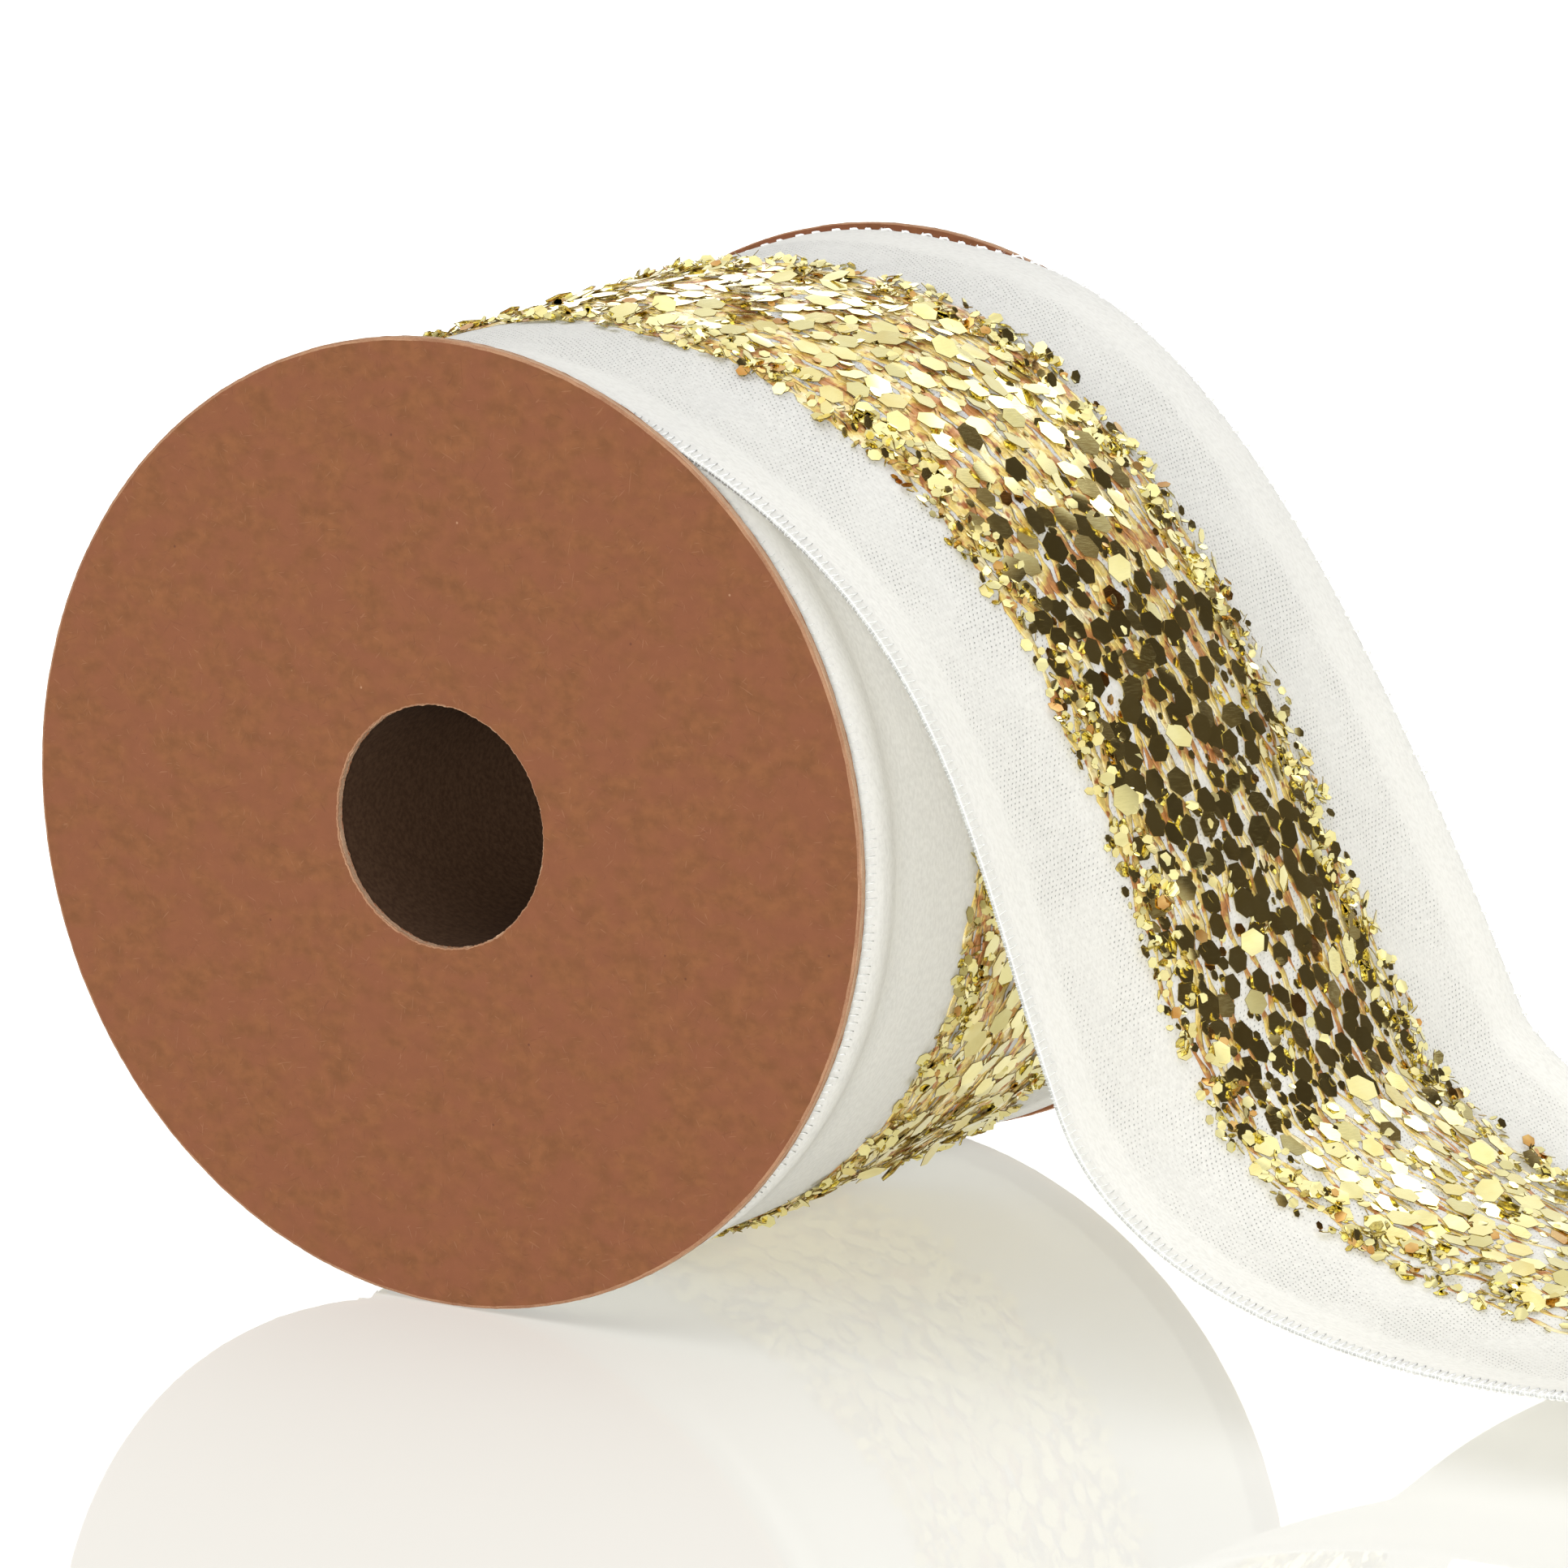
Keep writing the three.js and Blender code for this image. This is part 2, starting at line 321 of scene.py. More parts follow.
def flake_edge():
    """The cut side of a flake, darker than its faces: partly the film's own dark edge, and partly painted
    shade for the dark outlines between overlapping flakes.
    """
    made, nodes, shader = material("flake_cut_edge", Metallic=0.7, Roughness=0.45)
    tone = nodes.noise(nodes.millimetres(), 0.8, 2.0)
    base = nodes.mix(nodes.step(tone, 0.35, 0.65), (0.2, 0.13, 0.04, 1), (0.42, 0.34, 0.12, 1))
    nodes.feed(shader.inputs["Base Color"], base)
    return made


def gold_strand():
    """Printed glue and film under the flakes, in patches of cream, yellow and copper with red-brown spots.
    The copper and red-brown are partly the film's own colour and partly painted reflection: the deep orange
    of light bounced between gold layers.
    """
    made, nodes, shader = material("gold_strand", Metallic=0.3)
    place = nodes.millimetres()
    patches = nodes.noise(place, 0.42, 3.0, 0.6)
    spots = nodes.noise(place, 1.1, 2.0)
    base = nodes.mix(nodes.step(patches, 0.38, 0.5), (0.86, 0.76, 0.46, 1), (0.76, 0.58, 0.18, 1))
    # Copper patches and red-brown spots: partly painted reflection of light bounced between gold layers.
    base = nodes.mix(nodes.step(patches, 0.51, 0.62), base, (0.5, 0.23, 0.08, 1))
    base = nodes.mix(nodes.step(spots, 0.56, 0.7), base, (0.36, 0.13, 0.04, 1))
    nodes.feed(shader.inputs["Base Color"], base)
    nodes.feed(shader.inputs["Roughness"], nodes.step(spots, 0.3, 0.7, 0.2, 0.45))
    nodes.feed(shader.inputs["Normal"], nodes.bump(spots, 0.5, 0.1 * MM))
    return made


def hot_glue():
    made, nodes, shader = material("hot_glue", Roughness=0.35, Subsurface_Weight=0.3)
    cloud = nodes.noise(nodes.millimetres(), 0.6, 3.0)
    base = nodes.mix(nodes.step(cloud, 0.3, 0.7), (0.72, 0.62, 0.44, 1), (0.84, 0.78, 0.62, 1))
    nodes.feed(shader.inputs["Base Color"], base)
    return made


def clear_tape():
    made, nodes, shader = material("start_tape_film", Roughness=0.2)
    streaks = nodes.noise(nodes.stretched(nodes.millimetres(), (0, 0, 0), (0.3, 4, 0.3)), 1.0, 2.0)
    base = nodes.mix(nodes.step(streaks, 0.3, 0.7), (0.78, 0.7, 0.5, 1), (0.88, 0.83, 0.68, 1))
    nodes.feed(shader.inputs["Base Color"], base)
    return made


KRAFT = kraft_paper()
KRAFT_CUT = cut_board("kraft_cut_edge", (0.25, 0.12, 0.066), (0.37, 0.205, 0.118))
BOARD = cut_board("board_cut_edge", (0.34, 0.2, 0.12), (0.48, 0.31, 0.2))
CORE = core_paper()
# The last colour is the painted shade in the cloth's pinholes.
CLOTH = woven_cloth("white_cloth", (0.97, 0.974, 0.958), (0.08, 0.08, 0.09))
STITCHES = thread("white_thread", (0.95, 0.955, 0.935))
WIRE = grey_wire()
GOLD = gold_film("gold_flake", (0.95, 0.85, 0.38), (0.99, 0.91, 0.45), 0.06)
DEEP_GOLD = gold_film("deep_gold_flake", (0.92, 0.78, 0.32), (0.97, 0.86, 0.4), 0.1)
# Amber flakes: partly amber glitter, partly painted reflection for the deep orange of light bounced between
# gold layers.
AMBER = gold_film("amber_flake", (0.6, 0.3, 0.08), (0.78, 0.5, 0.18), 0.14)
FLAKE_EDGE = flake_edge()
STRAND = gold_strand()
GLITTER = (GOLD, DEEP_GOLD, AMBER, FLAKE_EDGE)


# ======== geometry ========
class Shape:
    """Points and faces gathered from several runs of geometry, for one object."""

    def __init__(self):
        self.points, self.faces, self.slots, self.uvs = [], [], [], []
        self.count = 0

    def add(self, points, faces, slots=0, uvs=None):
        """faces is a list of index arrays, one for each number of corners. slots is one number for all of
        them, or a list with a number or an array for each."""
        points = np.asarray(points).reshape(-1, 3).copy()
        points[:, 2] = np.maximum(points[:, 2], LEAST_HEIGHT)
        self.points.append(points)
        self.uvs.append(np.zeros((len(points), 2)) if uvs is None else uvs)
        for number, block in enumerate(faces):
            self.faces += (block + self.count).tolist()
            own = slots[number] if isinstance(slots, (list, tuple)) else slots
            self.slots.append(np.broadcast_to(own, len(block)))
        self.count += len(points)

    def build(self, name, body, materials, smooth=True):
        mesh = bpy.data.meshes.new(name)
        mesh.from_pydata(np.concatenate(self.points).tolist(), [], self.faces)
        for each in materials:
            mesh.materials.append(each)
        mesh.polygons.foreach_set("material_index", np.concatenate(self.slots).astype(np.int32))
        mesh.polygons.foreach_set("use_smooth", np.full(len(mesh.polygons), smooth))
        corners = np.empty(len(mesh.loops), np.int32)
        mesh.loops.foreach_get("vertex_index", corners)
        uv_map = mesh.uv_layers.new(name="cloth")
        uv_map.data.foreach_set("uv", np.concatenate(self.uvs)[corners].astype(np.float32).ravel())
        mesh.update()
        piece = bpy.data.objects.new(name, mesh)
        bpy.context.scene.collection.objects.link(piece)
        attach(piece, body)
        return piece


def grid_faces(rows, columns, ring=True, loop=False):
    """Quads over points numbered row by row. ring joins the ends of each row, and loop joins the last row to
    the first."""
    down, over = rows - (not loop), columns - (not ring)
    row, column = np.meshgrid(np.arange(down), np.arange(over), indexing="ij")
    below, beside = (row + 1) % rows, (column + 1) % columns
    top, bottom = row * columns, below * columns
    corners = [top + column, bottom + column, bottom + beside, top + beside]
    return np.stack(corners, -1).reshape(-1, 4)


def unit(vectors):
    return vectors / np.maximum(np.linalg.norm(vectors, axis=-1, keepdims=True), 1e-12)


def bezier(start, start_way, start_pull, stop_way, stop_pull, stop, steps=240):
    """Points of a cubic curve in (x, z). The ways are slopes in degrees and the pulls are the lengths of the
    handles."""
    start, stop = np.array(start, float), np.array(stop, float)
    slopes = math.radians(start_way), math.radians(stop_way)
    ways = [np.array([math.cos(slope), math.sin(slope)]) for slope in slopes]
    t = np.linspace(0, 1, steps)[:, None]
    handles = start + start_pull * ways[0], stop - stop_pull * ways[1]
    near_start = (1 - t) ** 3 * start + 3 * t * (1 - t) ** 2 * handles[0]
    return near_start + 3 * t * t * (1 - t) * handles[1] + t**3 * stop


class Ribbon:
    """A ribbon's middle surface. Its front and rear edges are lines of (x, z) points from the spool's
    axis, and the cloth is straight across between them, apart from its crown."""

    def __init__(self, front, rear, crown=None):
        self.edges = []
        for line in (front, rear):
            lengths = np.append(0, np.cumsum(np.hypot(*np.diff(line, axis=0).T)))
            self.edges.append((line, lengths))
        self.length = (self.edges[0][1][-1] + self.edges[1][1][-1]) / 2
        self.crown = crown

    def straight(self, along, across):
        share = (across / RIBBON_HALF + 1) / 2
        places = []
        for line, lengths in self.edges:
            at = along / self.length * lengths[-1]
            places.append(np.stack([np.interp(at, lengths, line[:, axis]) for axis in (0, 1)], -1))
        x, z = (places[0] + (places[1] - places[0]) * share[..., None]).T
        return np.stack([x.T + AXIS_X, across + 0 * along, z.T + AXIS_Z], -1)

    def directions(self, surface, along, across, step=0.12 * MM):
        forward = surface(along + step, across) - surface(along - step, across)
        sideways = surface(along, across + step) - surface(along, across - step)
        outward = unit(np.cross(forward, sideways))
        return unit(forward), unit(sideways), outward

    def surface(self, along, across):
        points = self.straight(along, across)
        if self.crown is not None:
            outward = self.directions(self.straight, along, across)[2]
            points = points + outward * self.crown(along / self.length, across)[..., None]
        return points

    def at(self, along, across, lift=0.0):
        """Points at those places, lifted off the middle surface, and the directions along, across and out."""
        along, across = np.broadcast_arrays(np.asarray(along, float), np.asarray(across, float))
        forward, sideways, outward = self.directions(self.surface, along, across)
        points = self.surface(along, across) + outward * np.asarray(lift)[..., None]
        return points, forward, sideways, outward


def smooth(value, start, stop):
    share = np.clip((value - start) / (stop - start), 0, 1)
    return share * share * (3 - 2 * share)


def hem_share(across):
    """0 on the cloth between the hems and 1 on them."""
    return smooth(np.abs(across), RIBBON_HALF - HEM_WIDTH - 0.3 * MM, RIBBON_HALF - HEM_WIDTH + 2 * MM)


def waves(rng, value, shortest, longest, count=6):
    """A smooth random line through value, about 1 high, made of waves between two lengths."""
    total = np.zeros_like(value)
    for length in np.geomspace(shortest, longest, count):
        total += np.sin(2 * math.pi * value / length + rng.uniform(0, 2 * math.pi))
    return total / math.sqrt(count)


# ---- the ribbon's two runs ----
def loose_turn(lift_off, rise, step=0.3 * MM):
    """The turn round the roll, from under the tail to where one edge lifts off. rise is how far that edge
    has come away from the roll by then."""
    count = int((TURN_START - lift_off) * TURN_RADIUS / step)
    angle = np.linspace(TURN_START, lift_off, count)
    radius = TURN_RADIUS + TURN_GROWTH * (TURN_START - angle) / (2 * math.pi)
    radius = radius + rise * smooth(-angle, math.radians(190), math.radians(265))
    return np.stack([TURN_SLACK + radius * np.cos(angle), radius * np.sin(angle) - TURN_SAG], -1)


def loose_edge(lift_off, rise, lift_pull, fall, fall_way, pulls, foot, foot_way, foot_pulls):
    """One edge of the loose run: the turn round the roll, the fall in an S, the foot and the flat end.
    Points and pulls are in millimetres from the spool's axis and the ways are slopes in degrees."""
    turn = loose_turn(math.radians(lift_off - 360), rise)
    lift_way = math.degrees(math.atan2(*(turn[-1] - turn[-2])[::-1]))
    rest = (CLOTH_THICKNESS / 2 + HEM_SWELL / 2 - AXIS_Z) / MM
    runs = [
        bezier(turn[-1] / MM, lift_way, lift_pull, fall_way, pulls[0], fall),
        bezier(fall, fall_way, pulls[1], foot_way, foot_pulls[0], foot),
        bezier(foot, foot_way, foot_pulls[1], 0, 8, (TAIL_END / MM, rest)),
    ]
    return np.concatenate([turn[:-1]] + [run[:-1] * MM for run in runs[:2]] + [runs[2] * MM])


def loose_crown(share, across):
    """On the roll the thick hems stand higher than the cloth between them. In the tail the glitter makes the
    band stiff, so that it stands out from the margins."""
    out = np.abs(across)
    bulge = smooth(out, 26.0 * MM, 29.3 * MM) - smooth(out, 29.9 * MM, RIBBON_HALF)
    stack = HEM_STACK * (1 - smooth(share, 0.4, 0.52)) * bulge
    free = smooth(share, 0.57, 0.65) * (1 - 0.6 * smooth(share, 0.88, 0.96))
    arch = np.clip(1 - (across / ARCH_HALF) ** 2, 0, 1) ** 2
    return stack + ARCH_RISE * free * arch


def loose_run():
    front = loose_edge(
        lift_off=69.9, rise=0, lift_pull=33.4,
        fall=(53.9, -16.2), fall_way=-67, pulls=(24.0, 13.7),
        foot=(96.8, -31.3), foot_way=3.5, foot_pulls=(17.1, 9),
    )
    rear = loose_edge(
        lift_off=83, rise=REAR_RISE, lift_pull=13.4,
        fall=(59.6, -20.5), fall_way=-64.7, pulls=(63.0, 2.4),
        foot=(93.5, -36.1), foot_way=-11, foot_pulls=(22.4, 5),
    )
    return Ribbon(front, rear, loose_crown)


def wound_crown(share, across):
    """The hems stand a little higher, the more so the more turns lie under them."""
    return WOUND_HEM_STACK * np.sqrt(np.clip(share, 0, 1)) * hem_share(across)


def wound_run(length):
    """The run wound on the core: a spiral of that length, ending where the loose run starts."""
    first = WOUND_INNER + CLOTH_THICKNESS / 2 + 0.1 * MM
    last = WOUND_OUTER - CLOTH_THICKNESS / 2
    turned_by = 2 * length / (first + last)
    count = int(length / (0.3 * MM))
    angle = np.linspace(TURN_START + turned_by, TURN_START, count)
    radius = np.linspace(first, last, count)
    spiral = np.stack([radius * np.cos(angle), radius * np.sin(angle)], -1)
    return Ribbon(spiral, spiral, wound_crown)


LOOSE = loose_run()
WOUND = wound_run(RIBBON_LENGTH - LOOSE.length)
OUTER_TURN = 2 * math.pi * WOUND_OUTER


def cloth_columns(spacing):
    """Places across the ribbon, closer together at the hems."""
    edge = RIBBON_HALF - HEM_WIDTH - 0.4 * MM
    inside = np.linspace(-edge, edge, int(2 * edge / spacing) + 1)
    rim = np.array([0.2, 0.4, 0.6, 0.8, 1.3, 1.8, 2.3, 2.8, 3.3, 3.8, 4.3, 4.6, 4.7, 4.78]) * MM
    return np.concatenate([-edge - rim[::-1], inside, edge + rim])


def cloth(name, body, ribbon, along, spacing, sway=None):
    """The woven cloth as a thin closed slab, thicker in its selvages."""
    across = cloth_columns(spacing)
    half = (CLOTH_THICKNESS + HEM_SWELL * hem_share(across)) / 2
    half[[0, -1]] *= 0.5
    along_grid, across_grid = np.meshgrid(along, across, indexing="ij")
    points, _, _, outward = ribbon.at(along_grid, across_grid)
    if sway is not None:
        points = points + np.array([0, 1, 0]) * sway[:, None, None]
    over, under = points + outward * half[None, :, None], points - outward * half[None, :, None]
    rows, columns = over.shape[0], 2 * len(across)
    ring = np.concatenate([over, under[:, ::-1]], axis=1)
    uv = np.stack([across_grid, along_grid], -1) / MM
    uv = np.concatenate([uv, uv[:, ::-1]], axis=1)
    shape = Shape()
    near = np.arange(len(across) - 1)
    cap = np.stack([near, near + 1, columns - 2 - near, columns - 1 - near], -1)
    faces = np.concatenate([grid_faces(rows, columns), cap[:, ::-1], cap + (rows - 1) * columns])
    shape.add(ring, [faces], 0, uv.reshape(-1, 2))
    return shape.build(name, body, [CLOTH])


def add_tube(shape, points, side, up, radius, sides, slot=0):
    """A closed tube along points; side and up are unit vectors across it, and radius may change along it."""
    angle = np.linspace(0, 2 * math.pi, sides, endpoint=False)
    radius = np.broadcast_to(radius, len(points))[:, None, None]
    ring = points[:, None] + radius * (
        np.cos(angle)[None, :, None] * side[:, None] + np.sin(angle)[None, :, None] * up[:, None]
    )
    rows = len(points)
    caps = [np.arange(sides)[None], ((rows - 1) * sides + np.arange(sides)[::-1])[None]]
    shape.add(ring, [grid_faces(rows, sides)[:, ::-1], *caps], slot)


def edge_wire(name, body, ribbon, along, side):
    """The fine wire bound into an edge; side is -1 at the front edge and 1 at the rear."""
    points, _, across, outward = ribbon.at(along, side * (RIBBON_HALF - 0.06 * MM))
    shape = Shape()
    add_tube(shape, points, across, outward, WIRE_RADIUS, 6)
    return shape.build(name, body, [WIRE])


def edge_stitches(name, body, ribbon, start, stop, seed):
    """A thread that binds each edge: close stitches over the front hem, and slacker loops that stand out at
    the rear edge."""
    shape = Shape()
    rng = np.random.default_rng(seed)
    front = (-1, 0.33 * MM, 1.3 * MM, 0.03 * MM)
    rear = (1, 0.87 * MM, 0.35 * MM, 0.36 * MM)
    for side, pitch, inset, reach_out in (front, rear):
        along = np.arange(start, stop, pitch / 7)
        phase = math.pi * (along / pitch + 0.25 * waves(rng, along, 3 * MM, 20 * MM))
        reach = reach_out * (1 + 0.35 * waves(rng, along, 1.5 * MM, 9 * MM))
        outset = RIBBON_HALF - inset + np.abs(np.sin(phase)) * (reach + inset)
        lift = (CLOTH_THICKNESS / 2 + HEM_SWELL / 2 + 0.05 * MM) * np.clip(1.7 * np.cos(phase), -1, 1)
        points, _, across, outward = ribbon.at(along, side * outset, lift)
        add_tube(shape, points, across, outward, STITCH_RADIUS, 5)
    return shape.build(name, body, [STITCHES])


def frayed_fibres(name, body, ribbon, places, seed):
    """Loose fibre ends. places holds each fibre's (along, across, heading across, heading along, length)."""
    shape = Shape()
    rng = np.random.default_rng(seed)
    for along, across, sideways_share, forward_share, length in places:
        start, forward, sideways, outward = ribbon.at(np.array([along]), np.array([across]))
        heading = unit(sideways * sideways_share + forward * forward_share + outward * rng.normal(0, 0.35))
        bow = unit(outward * rng.normal(0, 1) + forward * rng.normal(0, 1))
        t = np.linspace(0, 1, 5)[:, None]
        points = start + heading * length * t + bow * length * 0.3 * t * t
        side = np.repeat(unit(np.cross(outward, heading)), 5, 0)
        add_tube(shape, points, side, np.repeat(outward, 5, 0), 0.028 * MM * (1.15 - t[:, 0]), 3)
    return shape.build(name, body, [STITCHES])


# ---- glitter ----
def scattered(rng, start, stop, low, high, per_square_mm, apart):
    """Random (along, across) places in a strip, none nearer to another than apart."""
    wanted = int(per_square_mm * (stop - start) * (high - low) / MM**2)
    kept = np.empty((wanted, 2))
    count = 0
    for _ in range(wanted * 4):
        place = rng.uniform((start, low), (stop, high))
        if count == wanted:
            break
        if not count or np.min(np.sum((kept[:count] - place) ** 2, axis=1)) > apart**2:
            kept[count] = place
            count += 1
    return kept[:count]


def add_flakes(shape, ribbon, rng, places, radius, tilt, lift, bend, shares=(0.8, 0.18, 0.02)):
    """Thin six-sided flakes lying on the ribbon. radius and lift are arrays, tilt is a spread in radians,
    bend is the curl's depth as a share of the radius, and shares are the parts of each glitter colour."""
    count = len(places)
    lean = rng.normal(0, tilt, (count, 2))
    lean *= np.where(rng.random((count, 1)) < 0.12, 2.6, 1.0)
    settle = np.minimum(np.abs(lean).sum(1), 0.6) * radius * 0.8
    height = CLOTH_THICKNESS / 2 + lift + settle
    centre, forward, sideways, outward = ribbon.at(places[:, 0], places[:, 1], height)
    normal = unit(outward + forward * lean[:, :1] + sideways * lean[:, 1:])
    aligned = rng.normal(0, 0.2, count)
    turn = np.where(rng.random(count) < 0.45, aligned, rng.uniform(0, math.pi / 3, count))
    first = unit(np.cos(turn)[:, None] * sideways + np.sin(turn)[:, None] * forward)
    first = unit(first - normal * np.sum(first * normal, 1, keepdims=True))
    second = np.cross(normal, first)
    corner = np.arange(6) * math.pi / 3
    uneven = radius[:, None] * (1 + rng.normal(0, 0.04, (count, 6)))
    x, y = uneven * np.cos(corner), uneven * np.sin(corner)
    way = rng.uniform(0, math.pi, (count, 1))
    curl = -bend[:, None] * radius[:, None] * ((x * np.cos(way) + y * np.sin(way)) / radius[:, None]) ** 2
    rim = centre[:, None] + x[..., None] * first[:, None] + y[..., None] * second[:, None]
    rim = rim + curl[..., None] * normal[:, None]
    foot = rim - FLAKE_THICKNESS * normal[:, None]
    points = np.concatenate([centre[:, None], rim, rim, foot], axis=1)
    k, after = np.arange(6), (np.arange(6) + 1) % 6
    fan = np.stack([0 * k, 1 + k, 1 + after], -1)
    sides = np.stack([7 + k, 13 + k, 13 + after, 7 + after], -1)
    base = 13 + k[::-1]
    offset = np.arange(count) * points.shape[1]
    tints = rng.choice(len(shares), count, p=shares)
    faces = [
        (fan[None] + offset[:, None, None]).reshape(-1, 3),
        (sides[None] + offset[:, None, None]).reshape(-1, 4),
        base[None] + offset[:, None],
    ]
    edge = np.full(6 * count, GLITTER.index(FLAKE_EDGE))
    shape.add(points, faces, [np.repeat(tints, 6), edge, tints])


def large_flakes(name, body, ribbon, start, stop, seed, stand=1.0):
    """The broad mirror flakes of the band's middle. stand is less than 1 where a turn lies on them."""
    rng = np.random.default_rng(seed)
    shape = Shape()
    field = BAND_HALF - 2.6 * MM
    places = scattered(rng, start + LARGE_FLAKE, stop - LARGE_FLAKE, -field, field, 0.17, 1.75 * MM)
    count = len(places)
    radius = LARGE_FLAKE * rng.uniform(0.82, 1.1, count)
    bend = np.where(rng.random(count) < 0.35, rng.uniform(-0.02, 0.09, count), 0.005)
    lift = stand * rng.uniform(0.06, 0.3, count) * MM
    add_flakes(shape, ribbon, rng, places, radius, stand * 0.085, lift, bend)
    return shape.build(name, body, GLITTER)


def fine_glitter(name, body, ribbon, start, stop, seed, stand=1.0):
    """Small flakes: thick drifts along the band's two edges, and a thin scatter between them."""
    rng = np.random.default_rng(seed)
    shape = Shape()
    inner = BAND_HALF - 4.8 * MM
    edge = BAND_HALF + 0.4 * MM
    start, stop = start + 0.7 * MM, stop - 0.7 * MM
    drift, scatter = (1.5, 0.34 * MM), (0.36, 0.6 * MM)
    fields = [(-edge, -inner, *drift), (inner, edge, *drift), (-inner, inner, *scatter)]
    for low, high, density, apart in fields:
        places = scattered(rng, start, stop, low, high, density, apart)
        clumps = waves(rng, places[:, 0], 2.5 * MM, 14 * MM) + waves(rng, places[:, 1], 1.7 * MM, 5 * MM)
        crowded = low * high > 0
        if crowded:
            places = places[clumps + rng.normal(0, 0.5, len(places)) > -0.9]
        count = len(places)
        radius = rng.choice([0.34, 0.45, 0.62], count, p=(0.4, 0.4, 0.2)) * MM * rng.uniform(0.9, 1.1, count)
        lift = stand * rng.uniform(0.03, 0.42 if crowded else 0.2, count) * MM
        tilt = stand * (0.4 if crowded else 0.13)
        bend = rng.uniform(0, 0.12, count)
        add_flakes(shape, ribbon, rng, places, radius, tilt, lift, bend, (0.7, 0.22, 0.08))
    return shape.build(name, body, GLITTER)


def gold_strands(name, body, ribbon, start, stop, seed, thinning=0.0, count=44):
    """Flat strands of glue and film that run along the band under the flakes, in broken lengths.
    thinning is how much of their width they have lost by the end of the tail."""
    rng = np.random.default_rng(seed)
    shape = Shape()
    for base in np.linspace(-BAND_HALF + 1.2 * MM, BAND_HALF - 1.2 * MM, count):
        at = start + rng.uniform(0, 6) * MM
        while at < stop - 8 * MM:
            end = min(at + rng.uniform(12, 55) * MM, stop - 1 * MM)
            along = np.arange(at, end, 0.8 * MM)
            if len(along) > 3:
                across = base + 0.45 * MM * waves(rng, along, 5 * MM, 40 * MM)
                ends = np.minimum(smooth(along, at, at + 2 * MM), smooth(-along, -end, -end + 2 * MM))
                width = 0.46 * MM * (1.05 + 0.6 * waves(rng, along, 2 * MM, 12 * MM)) * (0.15 + 0.85 * ends)
                width = width * (1 - thinning * smooth(along / ribbon.length, 0.62, 0.85))
                width = np.maximum(width, 0.04 * MM)
                lift = CLOTH_THICKNESS / 2 + 0.05 * MM + 0.03 * MM * waves(rng, along, 1.5 * MM, 7 * MM)
                add_strand(shape, ribbon, along, across, lift, width)
            bare = 40 * thinning * smooth(end / ribbon.length, 0.6, 0.8)
            at = end + rng.uniform(0.5, 3.5 + bare) * MM
    return shape.build(name, body, [STRAND])


def add_strand(shape, ribbon, along, across, lift, width):
    points, _, sideways, outward = ribbon.at(along, across, lift)
    profile = np.array([(-1, -0.05), (-0.55, 0.14), (0.55, 0.14), (1, -0.05)])
    ring = points[:, None] + width[:, None, None] * profile[None, :, :1] * sideways[:, None]
    ring = ring + 0.2 * MM * profile[None, :, 1:] * outward[:, None]
    rows = len(along)
    caps = [np.arange(4)[None], ((rows - 1) * 4 + np.arange(4)[::-1])[None]]
    shape.add(ring, [grid_faces(rows, 4), *caps])


# ---- the spool ----
def turned(shape, profile, slots, steps=480, ragged=None):
    """A closed outline of (radius, y) turned round the axis. slots gives the material of each of its sides.
    ragged(angle, number) shifts the radius of one point of the outline."""
    angle = np.linspace(0, 2 * math.pi, steps, endpoint=False)
    columns = []
    for number, (radius, y) in enumerate(profile):
        reach = radius + (ragged(angle, number) if ragged else 0 * angle)
        x, z = AXIS_X + reach * np.cos(angle), AXIS_Z + reach * np.sin(angle)
        columns.append(np.stack([x, np.full(steps, y), z], -1))
    points = np.stack(columns, axis=1)
    faces = grid_faces(steps, len(profile), ring=True, loop=True)[:, ::-1]
    shape.add(points, [faces], [np.tile(slots, steps)])


def ragged_edges(seed, inner_points, outer_points, inner_depth, outer_depth):
    """Small unevenness of a die-cut hole and rim, the same at every depth of one cut."""
    rng = np.random.default_rng(seed)
    tables = {}
    for key, shortest, longest in (("inner", 0.035, 0.9), ("outer", 0.012, 0.3)):
        lengths = np.geomspace(shortest, longest, 9)
        tables[key] = [(2 * math.pi / length, rng.uniform(0, 2 * math.pi)) for length in lengths]

    def shift(angle, number):
        key = "inner" if number in inner_points else "outer" if number in outer_points else None
        if key is None:
            return 0 * angle
        total = sum(np.sin(round(rate) * angle + phase) for rate, phase in tables[key]) / 3
        if key == "inner":
            return total * inner_depth
        return total * -outer_depth - outer_depth

    return shift


def rounded(depth, outer_lip, inner_lip):
    """How far a cut edge of the flange lies back at a depth below the flange's outer face."""
    total = 0
    for lip, away in ((outer_lip, depth), (inner_lip, FLANGE_THICKNESS - depth)):
        near = min(max(1 - away / lip, 0), 1)
        total += lip * (1 - math.sqrt(1 - near * near))
    return total


